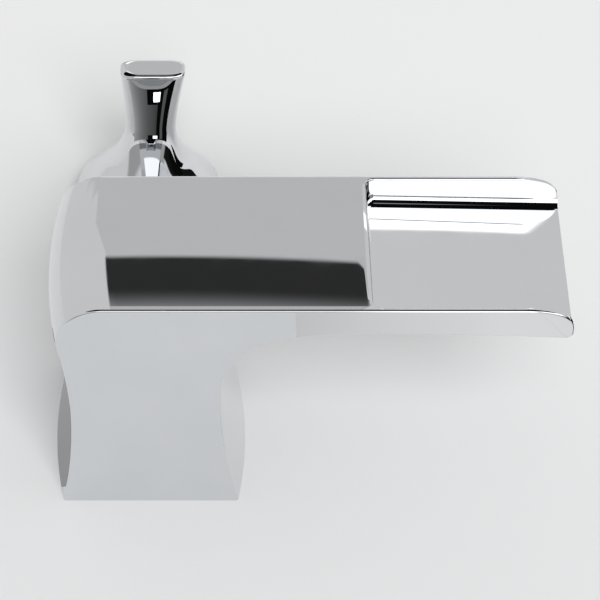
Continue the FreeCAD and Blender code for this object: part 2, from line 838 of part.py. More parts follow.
def make_crossover():
    """The rigid tube from the mixed-water port to the spout's shank, with its nut and fitting."""
    end_y = "control_spacing - port_circle"
    start = "-shank_length"
    bottom = "-shank_length - tube_drop"
    nut_low = "-shank_length - 2 * union_lip"
    tube_top = VALVE_LOW + " - union_lip"
    bend = size("tube_bend")
    low, far = size(bottom), size(end_y)

    def at(y, z):
        return FreeCAD.Vector(0, y, z)

    path = Part.Wire([
        Part.LineSegment(at(0, size(start)), at(0, low + bend)).toShape(),
        arc_about(at(bend, low + bend), at(0, low + bend), at(bend, low)),
        Part.LineSegment(at(bend, low), at(far - bend, low)).toShape(),
        arc_about(at(far - bend, low + bend), at(far - bend, low), at(far, low + bend)),
        Part.LineSegment(at(far, low + bend), at(far, size(tube_top))).toShape(),
    ])

    def swept(name, radius):
        circle = Part.Wire([Part.makeCircle(size(radius), at(0, size(start)), FreeCAD.Vector(0, 0, 1))])
        return formed(name, path.makePipeShell([circle], True, True))

    flange = rod("tube_flange", "shank_radius", "union_lip", z="-shank_length - union_lip")
    part(minus("tube_cut", plus("tube_blank", swept("tube_outside", "tube_radius"), flange),
               swept("tube_inside", "tube_bore")), "crossover_tube")
    union = hex_nut("union_hex", "union_radius", "union_height", "tube_radius + seat_gap", "0", nut_low)
    seat = rod("union_seat", "shank_radius + seat_gap", "union_height", z=nut_low + " + union_lip")
    part(minus("union_cut", union, seat), "crossover_union_nut")

    hexagon = doc.addObject("Part::Prism", "fitting_hex")
    hexagon.Polygon = HEX_SIDES
    place(set_sizes(hexagon, Circumradius="fitting_radius", Height="fitting_height"), y=end_y,
          z=VALVE_LOW + " - fitting_height")
    spigot = rod(
        "fitting_spigot", "socket_radius - seat_gap", "socket_depth", y=end_y, z=VALVE_LOW + " - seat_gap",
    )
    bore = rod("fitting_bore", "port_radius", "socket_depth + fitting_height + 2 * overrun", y=end_y,
               z=VALVE_LOW + " - fitting_height - overrun")
    tube_seat = rod("fitting_seat", "tube_radius + seat_gap", "fitting_height - union_lip + overrun", y=end_y,
                    z=VALVE_LOW + " - fitting_height - overrun")
    part(minus("fitting_cut", plus("fitting_blank", hexagon, spigot), bore, tube_seat), "crossover_fitting")


make_spout()
make_outlet_former()
make_spout_fixings()
make_valve_body()
make_control_trim()
make_cartridge_shell()
make_cartridge_movers()
make_handle()
make_crossover()
doc.recompute()

for item in doc.Objects:
    if "Invalid" in item.State or "Error" in item.State:
        raise RuntimeError(f"{item.Name} failed: {item.State}")
for item in parts:
    if item.Shape.isNull() or not item.Shape.isValid():
        raise RuntimeError(f"{item.Label} has no valid shape")
os.makedirs("parts", exist_ok=True)
for item in parts:
    item.Shape.exportStep(f"parts/{item.Label}.step")
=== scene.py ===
"""Looks of the two-hole basin mixer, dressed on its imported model.

Lengths are in millimetres and become metres where a mesh is made. +X is the way the water runs,
+Y is the control's side, +Z is up, and the deck is the plane z = 0.
"""
import json
import math
import bmesh
import bpy
import numpy as np
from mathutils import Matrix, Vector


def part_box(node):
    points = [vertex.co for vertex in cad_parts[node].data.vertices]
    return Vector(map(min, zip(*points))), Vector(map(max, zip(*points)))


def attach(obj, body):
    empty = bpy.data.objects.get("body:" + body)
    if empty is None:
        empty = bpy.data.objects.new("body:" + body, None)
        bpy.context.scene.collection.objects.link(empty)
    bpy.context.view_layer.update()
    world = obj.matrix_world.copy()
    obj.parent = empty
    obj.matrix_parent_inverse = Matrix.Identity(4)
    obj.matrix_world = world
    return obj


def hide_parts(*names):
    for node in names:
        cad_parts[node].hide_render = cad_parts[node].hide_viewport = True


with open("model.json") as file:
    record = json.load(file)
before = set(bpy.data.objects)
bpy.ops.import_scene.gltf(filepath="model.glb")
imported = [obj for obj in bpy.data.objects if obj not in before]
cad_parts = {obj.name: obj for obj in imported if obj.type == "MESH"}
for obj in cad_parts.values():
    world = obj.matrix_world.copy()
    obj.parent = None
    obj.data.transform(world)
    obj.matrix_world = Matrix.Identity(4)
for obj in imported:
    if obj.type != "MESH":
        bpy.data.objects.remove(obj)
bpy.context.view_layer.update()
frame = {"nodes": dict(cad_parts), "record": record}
MM = 0.001

# The spout casting's sizes, as in the part's source: whole, foot, rear, front, arm and tip.
SPOUT_WIDTH, SPOUT_HEIGHT, SPOUT_REACH = 59.3, 88.0, 128.7
BASE_HALF, FOOT_SHIFT, PLAN_BULGE, BELLY = 28.0, 1.1, 2.8, 2.0
REAR_WAIST, REAR_WAIST_HEIGHT, REAR_FLARE, BEND = 25.0, 36.0, 165.0, 14.6
FRONT_WAIST, FRONT_STRAIGHT, THROAT, ARCH, ARCH_APEX = 21.9, 4.0, 20.0, 70.0, 60.0
PLATE_THICKNESS, TIP_THICKNESS = 10.3, 12.2
TIP_EASE, TIP_EASE_LENGTH, TIP_NOSE, TIP_CORNER, EDGE_ROUND = 32.0, 10.0, 7.3, 2.2, 0.8

# Its waterfall channel, its water way and the seats in its foot.
CHANNEL_START, CHANNEL_WALL, CHANNEL_DEPTH, CHANNEL_FALL = 68.6, 1.7, 9.0, 1.6
CHANNEL_FILLET, CHANNEL_RIM, RIM_OVERLAP, REAR_SHARE, BED_MARGIN = 3.0, 0.7, 0.02, 0.35, 0.6
DUCT_WIDTH, DUCT_HEIGHT, DUCT_ROOF, RISER_HALF, RISER_FLOOR = 46.0, 4.4, 2.8, 17.0, 14.0
SHANK_HOLE, COLLAR_SEAT, COLLAR_DEPTH = 10.55, 13.25, 5.5
SEAL_INNER, SEAL_OUTER, SEAL_DEPTH = 15.5, 22.0, 1.6

# The handle's sizes, as in the part's source: place, bell, neck, lever, hollow, socket and screw.
CONTROL_Y = 106.6
RIM_HEIGHT, RIM_ROUND, HANDLE_WAIST, HANDLE_TOP = 8.0, 0.6, 40.0, 64.6
BELL_SLOPE, FLARE_ARC, NECK_WIDE, NECK_DEEP = 0.76, 30.0, 8.7, 4.9
LEVER_WIDE, LEVER_DEEP, LEVER_LEAN, LEVER_ROUND = 11.0, 4.6, 1.5, 1.2
LEVER_SPREAD_SHARE, LEVER_SPREAD_POWER, LEVER_BACK_POWER = 0.95, 1.6, 1.5
LEVER_SIDE_SHARE, LEVER_SIDE_SLOPE, LEVER_SIDE_START = 1.0, 1.6, 0.4
BELL_WALL, BELL_ROOF, BOSS_RADIUS, BOSS_FOOT = 3.0, 21.0, 6.6, 13.5
SOCKET_WIDE, SOCKET_DEEP, SOCKET_TOP = 3.05, 3.55, 27.05
SCREW_HOLE, SCREW_HEIGHT, SCREW_HOLE_SPAN = 2.05, 24.5, (1.0, 28.0)

# The threaded pieces' sizes, as in the part's source; a thread's depth is a share of its pitch.
SHANK_RADIUS, SHANK_BORE, SHANK_COLLAR, COLLAR_HEIGHT, SHANK_PITCH = 10.5, 6.5, 13.2, 3.0, 1.81
VALVE_RADIUS, VALVE_FLANGE, FLANGE_HEIGHT, VALVE_NECK, VALVE_PITCH = 15.8, 17.5, 4.0, 15.0, 1.5
POCKET_RADIUS, POCKET_FLOOR, PORT_RADIUS, PORT_CIRCLE = 12.6, -31.0, 2.4, 7.4
PORT_TURNS, HOSE_SOCKET, HOSE_SOCKET_DEPTH = (-90, 30, 150), 4.6, 10.0
THREAD_SHARE, THREAD_STEPS, THREAD_START, LEAD_IN = 0.6, 8, 1.5, 0.9
NUT_FACE, NUT_CONE, NUT_GAP, NUT_HEIGHT = 0.97, 30.0, 0.05, 8.0
UNION_HEIGHT, UNION_LIP, TUBE_RADIUS = 12.0, 2.0, 5.0

# How far a cutting volume passes the surface that it cuts, at the spout and at the valve's ports,
# and how far above the riser's floor and the stem's socket a face still counts as hidden.
CUT_OVER, PORT_OVER, HIDDEN_OVER = 2.0, 1.0, 1.0

# Points on the runs of the casting's outline, and on the other grids.
OUTLINE_POINTS = {
    "rear_low": 16, "rear_high": 16, "rear_bend": 26, "top_line": 26, "tip_ease": 12, "tip_nose": 18,
    "tip_corner": 9, "under": 22, "arch": 24, "throat": 24, "front_low": 18,
}
ROUND_POINTS, FILLET_POINTS, CHANNEL_POINTS, ACROSS_POINTS = 7, 10, 14, 41
HANDLE_POINTS, LEVER_ROWS, BELL_ROWS = 160, 74, 14
TURNED_POINTS, NUT_POINTS, HOLE_POINTS, PORT_POINTS = 72, 96, 40, 32

# Points nearer than the first are merged, and faces narrower than the second are dissolved. Edges
# sharper than the angles, in degrees, stay sharp, and the weight lets large faces lead the shading.
MERGE_GAP, SLIVER = 0.002, 0.001
SHARP_ANGLE, NUT_SHARP_ANGLE, FLAT_WEIGHT = 32, 20, 60


def full_turn(count):
    """Angles evenly round one whole turn, without its end."""
    return np.linspace(0, 2 * np.pi, count, endpoint=False)


def grid_index(rows, columns):
    """The numbers of a grid's points, row by row."""
    return np.arange(rows * columns).reshape(rows, columns)


def grid_quads(rows, columns, wrap):
    """Corner numbers of a grid's faces; wrap joins the last column to the first."""
    index = grid_index(rows, columns)
    right = np.roll(index, -1, axis=1)
    quads = np.stack([index[:-1], right[:-1], right[1:], index[1:]], axis=-1)
    return (quads if wrap else quads[:, :-1]).reshape(-1, 4)


def ring_ends(rows, columns):
    """The first and last rows of a grid, as the two faces that close it."""
    index = grid_index(rows, columns)
    return index[0][::-1], index[-1]


def placed(name, data):
    """A new object of the scene that holds a mesh, a lamp or a camera."""
    holder = bpy.data.objects.new(name, data)
    bpy.context.scene.collection.objects.link(holder)
    return holder


def grid_piece(name, x, y, z, wrap=True, ends=()):
    """An object from grids of x, y and z in millimetres, closed by many-cornered end faces."""
    points = np.stack([x, y, z], axis=-1).reshape(-1, 3) * MM
    faces = grid_quads(*x.shape, wrap).tolist() + [np.asarray(end).tolist() for end in ends]
    mesh = bpy.data.meshes.new(name)
    mesh.from_pydata(points.tolist(), [], faces)
    shell = bmesh.new()
    shell.from_mesh(mesh)
    bmesh.ops.remove_doubles(shell, verts=shell.verts, dist=MERGE_GAP * MM)
    bmesh.ops.dissolve_degenerate(shell, edges=shell.edges, dist=SLIVER * MM)
    bmesh.ops.recalc_face_normals(shell, faces=shell.faces)
    shell.to_mesh(mesh)
    shell.free()
    return placed(name, mesh)


def bore_tool(name, radius, low, high, centre=(0, 0), columns=TURNED_POINTS):
    """A round bore's volume: a circle carried up between two heights."""
    turn = full_turn(columns)
    z = np.array([low, high], float)[:, None] + 0 * turn
    x = centre[0] + radius * np.cos(turn) + 0 * z
    y = centre[1] + radius * np.sin(turn) + 0 * z
    return grid_piece(name, x, y, z, ends=ring_ends(*z.shape))


def ring_tool(name, inner, outer, low, high):
    """A flat ring's volume: a rectangle carried round an upright axis."""
    turn = full_turn(TURNED_POINTS)
    radius = np.array([inner, outer, outer, inner, inner])[:, None]
    height = np.array([low, low, high, high, low])[:, None]
    return grid_piece(name, radius * np.cos(turn), radius * np.sin(turn), height + 0 * turn)


def box_tool(name, low, high):
    """A plain box's volume: a square carried up between two heights."""
    x = np.array([low[0], high[0], high[0], low[0]]) + np.zeros((2, 1))
    y = np.array([low[1], low[1], high[1], high[1]]) + np.zeros((2, 1))
    z = np.array([low[2], high[2]])[:, None] + 0 * x
    return grid_piece(name, x, y, z, ends=ring_ends(*x.shape))


def carved(piece, *tools, cut_below=-math.inf):
    """The piece with each tool's volume taken out of its mesh; the tools are deleted.

    Many-cornered faces wholly under the height cut_below become well-shaped triangles.
    """
    for tool in tools:
        cut = piece.modifiers.new(tool.name, "BOOLEAN")
        cut.operation, cut.solver, cut.object = "DIFFERENCE", "EXACT", tool
    graph = bpy.context.evaluated_depsgraph_get()
    made = bpy.data.meshes.new_from_object(piece.evaluated_get(graph))
    piece.modifiers.clear()
    piece.data = made
    for tool in tools:
        bpy.data.objects.remove(tool)
    shell = bmesh.new()
    shell.from_mesh(made)
    low_faces = [face for face in shell.faces if len(face.verts) > 4
                 and max(corner.co.z for corner in face.verts) < cut_below * MM]
    bmesh.ops.triangulate(shell, faces=low_faces, quad_method="BEAUTY", ngon_method="BEAUTY")
    bmesh.ops.dissolve_degenerate(shell, edges=shell.edges, dist=SLIVER * MM)
    shell.to_mesh(made)
    shell.free()
    return piece


def polished(piece, angle=SHARP_ANGLE):
    """Smooth shading that keeps edges sharper than the angle, with flats left truly flat."""
    piece.data.polygons.foreach_set("use_smooth", np.ones(len(piece.data.polygons), bool))
    piece.data.set_sharp_from_angle(angle=math.radians(angle))
    weigh = piece.modifiers.new("flats", "WEIGHTED_NORMAL")
    weigh.mode, weigh.weight, weigh.keep_sharp = "FACE_AREA", FLAT_WEIGHT, True
    return piece


def dressed(piece, finish, body, node):
    """Gives a piece its finish; it rides on a body and stands for a CAD node."""
    piece.data.materials.clear()
    piece.data.materials.append(finish)
    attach(piece, body)
    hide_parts(node)


def arc_run(cx, cz, radius, start, end, count):
    """Arcs, one a row: centre plus radius times (cos, sin) of angles evenly from start to end."""
    start, end = np.broadcast_arrays(start + 0 * cx, end + 0 * cx)
    angle = start[:, None] + (end - start)[:, None] * np.linspace(0, 1, count)
    radius = (radius + 0 * cx)[:, None]
    return cx[:, None] + radius * np.cos(angle), (cz + 0 * cx)[:, None] + radius * np.sin(angle)


def line_run(x0, z0, x1, z1, count):
    """Straight runs, one a row: points evenly between two ends, without the ends."""
    share = np.linspace(0, 1, count + 2)[1:-1]
    x0, z0, x1, z1 = (value[:, None] for value in np.broadcast_arrays(x0, z0, x1, z1))
    return x0 + (x1 - x0) * share, z0 + (z1 - z0) * share


def spout_outline(y, inset):
    """The casting's side outline at rows y, drawn in by inset, as grids of x and z.

    Tangent arcs and straights run from the rear foot over the top and the tip to the front foot.
    The rear and front bow out, and the underside sags, by a parabola in y that is full at the
    middle. A hollow arc's radius grows by inset and a full one's shrinks by it.
    """
    fullness = 1 - (2 * y / SPOUT_WIDTH) ** 2
    bow, sag, none = PLAN_BULGE * fullness, BELLY * fullness, 0 * y
    top, half_pi, count = SPOUT_HEIGHT, math.pi / 2, OUTLINE_POINTS

    rear_x = -REAR_WAIST - bow
    dip = BASE_HALF - REAR_WAIST
    lower = (REAR_WAIST_HEIGHT ** 2 + dip ** 2) / (2 * dip)
    rear_low = arc_run(rear_x - lower, REAR_WAIST_HEIGHT, lower + inset,
                       -np.arcsin(REAR_WAIST_HEIGHT / (lower + inset)), none, count["rear_low"])
    bend_z = top - BEND
    shoulder = math.asin((bend_z - REAR_WAIST_HEIGHT) / (REAR_FLARE + BEND))
    bend_x = rear_x - REAR_FLARE + (REAR_FLARE + BEND) * math.cos(shoulder)
    rear_high = arc_run(rear_x - REAR_FLARE, REAR_WAIST_HEIGHT, REAR_FLARE + inset,
                        none, shoulder, count["rear_high"])
    rear_bend = arc_run(bend_x, bend_z, BEND - inset, math.pi + shoulder, half_pi,
                        count["rear_bend"])

    ease = math.asin(TIP_EASE_LENGTH / TIP_EASE)
    nose_x = SPOUT_REACH - TIP_NOSE + none
    nose_z = top - TIP_EASE * (1 - math.cos(ease)) - TIP_NOSE * math.cos(ease)
    ease_x = nose_x + TIP_NOSE * math.sin(ease) - TIP_EASE_LENGTH
    top_line = line_run(bend_x, top - inset, ease_x, top - inset, count["top_line"])
    tip_ease = arc_run(ease_x, top - TIP_EASE, TIP_EASE - inset, half_pi, half_pi - ease,
                       count["tip_ease"])
    tip_nose = arc_run(nose_x, nose_z, TIP_NOSE - inset, half_pi - ease, none, count["tip_nose"])
    lip_z = top - TIP_THICKNESS - sag
    tip_corner = arc_run(SPOUT_REACH - TIP_CORNER + none, lip_z + TIP_CORNER, TIP_CORNER - inset,
                         none, -half_pi, count["tip_corner"])

    apex_z = top - PLATE_THICKNESS - sag
    fall, reach = TIP_THICKNESS - PLATE_THICKNESS, SPOUT_REACH - TIP_CORNER - ARCH_APEX
    sweep = (reach ** 2 + fall ** 2) / (2 * fall)
    under = arc_run(ARCH_APEX + none, apex_z - sweep, sweep + inset,
                    math.atan2(sweep - fall, reach), half_pi, count["under"])
    front_x = FRONT_WAIST + bow
    throat_x = front_x + THROAT
    throat_z = apex_z - ARCH + np.sqrt((ARCH - THROAT) ** 2 - (ARCH_APEX - throat_x) ** 2)
    meeting = np.arctan2(throat_z - apex_z + ARCH, throat_x - ARCH_APEX)
    arch = arc_run(ARCH_APEX + none, apex_z - ARCH, ARCH + inset, half_pi, meeting, count["arch"])
    throat = arc_run(throat_x, throat_z, THROAT + inset, meeting, math.pi, count["throat"])
    front_z = throat_z - FRONT_STRAIGHT
    spread = BASE_HALF - FRONT_WAIST
    foot = (front_z ** 2 + spread ** 2) / (2 * spread)
    front_low = arc_run(front_x + foot, front_z, foot + inset, math.pi,
                        math.pi + np.arcsin(front_z / (foot + inset)), count["front_low"])
    runs = (rear_low, rear_high, rear_bend, top_line, tip_ease, tip_nose, tip_corner,
            under, arch, throat, front_low)
    return np.hstack([run[0] for run in runs]) + FOOT_SHIFT, np.hstack([run[1] for run in runs])


def spout_casting():
    """The casting's outside: its side outline carried across y, with quarter-round long edges."""
    flat = SPOUT_WIDTH / 2 - EDGE_ROUND
    turn = np.linspace(0, math.pi / 2, ROUND_POINTS)[1:]
    side, drawn = flat + EDGE_ROUND * np.sin(turn), EDGE_ROUND * (1 - np.cos(turn))
    middle = np.linspace(-flat, flat, ACROSS_POINTS)
    y = np.hstack([-side[::-1], middle, side])
    inset = np.hstack([drawn[::-1], 0 * middle, drawn])
    x, z = spout_outline(y, inset)
    return grid_piece("spout_shell", x, y[:, None] + 0 * x, z, ends=ring_ends(*x.shape))


def channel_tool():
    """The waterfall channel's volume: a rim round, wall and floor fillet carried round a U path.

    At depth steps the path is drawn in by s, so its corners of radius fillet become fillet - s. At
    the rim s goes below nothing by a quarter round, and at the floor it rises by another, which is
    flatter at the rear. The bed inside it is strips across y, and it falls in proportion to the
    way along x.
    """
    mouth, brim = FOOT_SHIFT + SPOUT_REACH + CUT_OVER, SPOUT_HEIGHT + CUT_OVER
    floor, wide = SPOUT_HEIGHT - CHANNEL_DEPTH, SPOUT_WIDTH / 2 - CHANNEL_WALL
    turn = np.linspace(0, math.pi / 2, FILLET_POINTS)
    rim_turn = np.linspace(math.pi / 2, 0, ROUND_POINTS)
    drawn = np.hstack([-CHANNEL_RIM, CHANNEL_RIM * (np.cos(rim_turn) - 1),
                       CHANNEL_FILLET * (1 - np.cos(turn)), CHANNEL_FILLET + BED_MARGIN])[:, None]
    level = np.hstack([brim, SPOUT_HEIGHT + RIM_OVERLAP - CHANNEL_RIM * (1 - np.sin(rim_turn)),
                       floor + CHANNEL_FILLET * (1 - np.sin(turn)), floor])[:, None]
    corner = np.linspace(-math.pi / 2, -math.pi, FILLET_POINTS)
    cx, cy = CHANNEL_START + CHANNEL_FILLET, wide - CHANNEL_FILLET
    run = np.linspace(mouth, cx, CHANNEL_POINTS)[:-1]
    inner = np.maximum(drawn - CHANNEL_FILLET, 0)
    radius = CHANNEL_FILLET - drawn + inner
    reach = CHANNEL_FILLET - np.where(drawn > 0, REAR_SHARE * drawn, drawn)
    x = np.hstack([run + 0 * drawn, cx + reach * np.cos(corner), cx + reach * np.cos(corner[::-1]),
                   run[::-1] + 0 * drawn])
    y = np.hstack([-wide + drawn + 0 * run, -cy + inner + radius * np.sin(corner),
                   cy - inner - radius * np.sin(corner[::-1]), wide - drawn + 0 * run])
    low = np.hstack([0, 0 * rim_turn, 0 * turn + 1, 1])[:, None]
    z = level - low * CHANNEL_FALL * (x - CHANNEL_START) / (mouth - CHANNEL_START)
    index = grid_index(*x.shape)
    gate = np.hstack([index[:, 0], index[::-1, -1]])
    half = x.shape[1] // 2
    strip, across = index[-1, :half], index[-1, ::-1][:half]
    bed = np.stack([strip[:-1], strip[1:], across[1:], across[:-1]], axis=-1)
    return grid_piece("channel_tool", x, y, z, wrap=False, ends=(index[0], *bed, gate))


def make_spout(finish):
    """The spout's shell: casting, channel, water way and the seats in its foot."""
    roof, side = SPOUT_HEIGHT - DUCT_ROOF, DUCT_WIDTH / 2
    shell = carved(
        spout_casting(), channel_tool(),
        box_tool("riser", (-RISER_HALF, -side, RISER_FLOOR), (RISER_HALF, side, roof)),
        box_tool("duct", (RISER_HALF - CUT_OVER, -side, roof - DUCT_HEIGHT),
                 (CHANNEL_START + CUT_OVER, side, roof)),
        bore_tool("shank_hole", SHANK_HOLE, -CUT_OVER, RISER_FLOOR + CUT_OVER),
        bore_tool("collar_seat", COLLAR_SEAT, -CUT_OVER, COLLAR_DEPTH),
        ring_tool("seal_groove", SEAL_INNER, SEAL_OUTER, -CUT_OVER, SEAL_DEPTH),
        cut_below=RISER_FLOOR + HIDDEN_OVER,
    )
    dressed(polished(shell), finish, "base", "spout_body")


def smooth_step(share):
    """A smooth step from 0 to 1: 3 s squared less 2 s cubed."""
    share = np.clip(share, 0, 1)
    return share * share * (3 - 2 * share)


def bell_radius(height):
    """The bell's half width: a straight cone that an arc turns upright at the handle's waist."""
    turn = math.atan(BELL_SLOPE)
    down = np.maximum(HANDLE_WAIST - height, 0)
    arc_down = FLARE_ARC * math.sin(turn)
    arc = NECK_WIDE + FLARE_ARC - np.sqrt(FLARE_ARC ** 2 - np.minimum(down, arc_down) ** 2)
    return arc + np.maximum(down - arc_down, 0) * BELL_SLOPE


def handle_rows(height, inset, turn):
    """The handle's sections at rows of height, drawn in by inset, as grids of x, y and z.

    A section is a superellipse: x is the half width times the 2/p power of the cosine, and y the
    half depth times that of the sine. It is a circle at the bell and flattens towards the neck. The
    power p grows from 2 to 3 at the neck, and at the lever to 4.5 at the back and 4 at the front.
    """
    share = (height - RIM_HEIGHT) / (HANDLE_TOP - RIM_HEIGHT)
    squash = smooth_step((height - BELL_ROOF) / (HANDLE_WAIST - BELL_ROOF))
    lever = LEVER_SPREAD_SHARE * (HANDLE_TOP - HANDLE_WAIST)
    spread = np.clip((height - HANDLE_WAIST) / lever, 0, 1) ** LEVER_SPREAD_POWER
    bell = bell_radius(height)
    wide = bell + spread * (LEVER_WIDE - NECK_WIDE)
    deep = bell - squash * (NECK_WIDE - NECK_DEEP) + spread * (LEVER_DEEP - NECK_DEEP)
    back, front = 2 + squash + LEVER_BACK_POWER * spread, 2 + squash + spread
    across, along = np.cos(turn), np.sin(turn)
    power = 2 / np.where(along > 0, back[:, None], front[:, None])
    x = np.sign(across) * np.abs(across) ** power * (wide[:, None] - inset)
    y = np.sign(along) * np.abs(along) ** power * (deep[:, None] - inset)
    return x + LEVER_LEAN * share[:, None], y + CONTROL_Y, height[:, None] + 0 * x


def screw_hole_tool():
    """The screw hole's volume: a circle in x and z, carried back along y."""
    turn = full_turn(HOLE_POINTS)
    y = CONTROL_Y + np.array(SCREW_HOLE_SPAN)[:, None] + 0 * turn
    x = SCREW_HOLE * np.cos(turn) + 0 * y
    z = SCREW_HEIGHT + SCREW_HOLE * np.sin(turn) + 0 * y
    return grid_piece("screw_hole", x, y, z, ends=ring_ends(*y.shape))


def make_handle(finish):
    """The handle's shell: bell and lever outside, then the hollow, the boss and the stem's socket.

    Quarter rounds close the lever's top and the bell's rim; the top's is wider on the -x side. The
    hollow is a cone, the boss a cylinder, and the socket a rectangle as a radius for each turn.
    """
    turn = full_turn(HANDLE_POINTS)
    rim_turn = np.linspace(0, math.pi / 2, ROUND_POINTS)
    top_turn = rim_turn[::-1]
    top = HANDLE_TOP - LEVER_ROUND * (1 - np.sin(top_turn))
    rim = RIM_HEIGHT + RIM_ROUND * (1 - np.sin(rim_turn))
    middle = np.linspace(HANDLE_TOP - LEVER_ROUND, RIM_HEIGHT + RIM_ROUND, LEVER_ROWS)[1:-1]
    side = 1 + LEVER_SIDE_SHARE * smooth_step(-np.cos(turn) * LEVER_SIDE_SLOPE - LEVER_SIDE_START)
    top_inset = LEVER_ROUND * (1 - np.cos(top_turn))
    low_inset = np.hstack([0 * middle, RIM_ROUND * (1 - np.cos(rim_turn))])
    inset = np.vstack([top_inset[:, None] * side, low_inset[:, None] + 0 * turn])
    x, y, z = handle_rows(np.hstack([top, middle, rim]), inset, turn)

    rim_inside = bell_radius(RIM_HEIGHT) - BELL_WALL
    roof_inside = rim_inside - (BELL_ROOF - RIM_HEIGHT) * BELL_SLOPE
    hollow = np.hstack([np.linspace(rim_inside, roof_inside, BELL_ROWS), BOSS_RADIUS, BOSS_RADIUS])
    level = np.hstack([np.linspace(RIM_HEIGHT, BELL_ROOF, BELL_ROWS), BELL_ROOF, BOSS_FOOT,
                       BOSS_FOOT, SOCKET_TOP])
    socket = 1 / np.maximum(np.abs(np.cos(turn)) / SOCKET_WIDE, np.abs(np.sin(turn)) / SOCKET_DEEP)
    inner = np.vstack([hollow[:, None] + 0 * turn, socket, socket])
    x = np.vstack([x, inner * np.cos(turn)])
    y = np.vstack([y, CONTROL_Y + inner * np.sin(turn)])
    z = np.vstack([z, level[:, None] + 0 * turn])
    shell = grid_piece("handle_shell", x, y, z, ends=ring_ends(*x.shape))
    shell = carved(shell, screw_hole_tool(), cut_below=SOCKET_TOP + HIDDEN_OVER)
    dressed(polished(shell), finish, "handle", "handle")


def threaded_piece(name, foot, thread, head, centre_y=0.0, closed=True):
    """A turned piece with a thread: plain rows (radius, height), the thread's rows, plain rows.

    In the thread the radius is the crest less the depth times |2 f - 1|, where f is the fraction
    part of height / pitch - turn / (2 pi). Smooth steps one pitch long fade the depth out at both
    ends.
    """
    turn = full_turn(TURNED_POINTS)
    crest, low, high, pitch = thread
    height = np.linspace(low, high, round((high - low) / pitch * THREAD_STEPS))[:, None]
    wave = np.abs(2 * ((height / pitch - turn / (2 * np.pi)) % 1) - 1)
    fade = smooth_step((height - low) / pitch) * smooth_step((high - height) / pitch)
    foot, head = (np.array(rows, float)[:, :, None] + 0 * turn for rows in (foot, head))
    radius = np.vstack([foot[:, 0], crest - THREAD_SHARE * pitch * wave * fade, head[:, 0]])
    z = np.vstack([foot[:, 1], height + 0 * turn, head[:, 1]])
    return grid_piece(name, radius * np.cos(turn), centre_y + radius * np.sin(turn), z,
                      ends=ring_ends(*z.shape) if closed else ())


def make_shank(finish):
    """The spout's shank: a threaded tube with a collar, up its outside and back down its bore."""
    low, high = (corner[2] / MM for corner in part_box("spout_shank"))
    foot = ((SHANK_BORE, low), (SHANK_RADIUS - LEAD_IN, low), (SHANK_RADIUS, low + LEAD_IN))
    head = ((SHANK_RADIUS, 0), (SHANK_COLLAR, 0), (SHANK_COLLAR, COLLAR_HEIGHT),
            (SHANK_RADIUS, COLLAR_HEIGHT), (SHANK_RADIUS, high), (SHANK_BORE, high),
            (SHANK_BORE, low))
    thread = (SHANK_RADIUS, low + THREAD_START, -THREAD_START, SHANK_PITCH)
    tube = threaded_piece("shank_thread", foot, thread, head, closed=False)
    dressed(polished(tube), finish, "base", "spout_shank")


def make_valve_body(finish):
    """The control's housing: a threaded body with its pocket, three ports and the hoses' sockets."""
    low, high = (corner[2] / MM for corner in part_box("valve_body"))
    foot = ((VALVE_RADIUS - LEAD_IN, low), (VALVE_RADIUS, low + LEAD_IN))
    head = ((VALVE_RADIUS, 0), (VALVE_FLANGE, 0), (VALVE_FLANGE, FLANGE_HEIGHT),
            (VALVE_NECK, FLANGE_HEIGHT), (VALVE_NECK, high), (POCKET_RADIUS, high),
            (POCKET_RADIUS, POCKET_FLOOR))
    thread = (VALVE_RADIUS, low + THREAD_START, -THREAD_START, VALVE_PITCH)
    shell = threaded_piece("valve_thread", foot, thread, head, CONTROL_Y)
    tools = []
    for turn in np.radians(PORT_TURNS):
        place = (PORT_CIRCLE * math.cos(turn), CONTROL_Y + PORT_CIRCLE * math.sin(turn))
        tools.append(bore_tool("port", PORT_RADIUS, low - PORT_OVER, POCKET_FLOOR + PORT_OVER,
                               place, PORT_POINTS))
        tools.append(bore_tool("hose_socket", HOSE_SOCKET, low - PORT_OVER,
                               low + HOSE_SOCKET_DEPTH, place, HOLE_POINTS))
    dressed(polished(carved(shell, *tools)), finish, "base", "valve_body")


def make_hex_nut(node, inside, finish):
    """A nut where the CAD nut is: a hexagon whose corners a cone cuts at both ends, and its hole.

    The flats' radius is the apothem over the cosine of the turn from a flat's middle. The cone
    starts on a circle inside the flats, so an edge drops by the tangent of its angle times
    (radius - circle). The hole's rows are (radius, height above the nut's foot), from the top down.
    """
    (left, front, low), (right, back, high) = (np.array(corner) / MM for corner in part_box(node))
    turn = full_turn(NUT_POINTS)
    apothem = (right - left) / 2 * math.cos(math.pi / 6)
    flats = apothem / np.cos(turn % (math.pi / 3) - math.pi / 6)
    circle, level = NUT_FACE * apothem + 0 * turn, low + 0 * turn
    drop = (flats - circle) * math.tan(math.radians(NUT_CONE))
    hole = np.array(inside)[:, :, None] + 0 * turn
    radius = np.vstack([hole[-1:, 0], circle, flats, flats, circle, hole[:, 0]])
    z = np.vstack([level, level, low + drop, high - drop, high + 0 * turn, low + hole[:, 1]])
    nut = grid_piece(node + "_hexagon", radius * np.cos(turn) + (left + right) / 2,
                     radius * np.sin(turn) + (front + back) / 2, z)
    dressed(polished(nut, NUT_SHARP_ANGLE), finish, "base", node)


def through_hole(radius):
    """The rows of a nut's plain hole, opened by a lead-in at both ends."""
    radius += NUT_GAP
    return ((radius + LEAD_IN, NUT_HEIGHT), (radius, NUT_HEIGHT - LEAD_IN),
            (radius, LEAD_IN), (radius + LEAD_IN, 0))


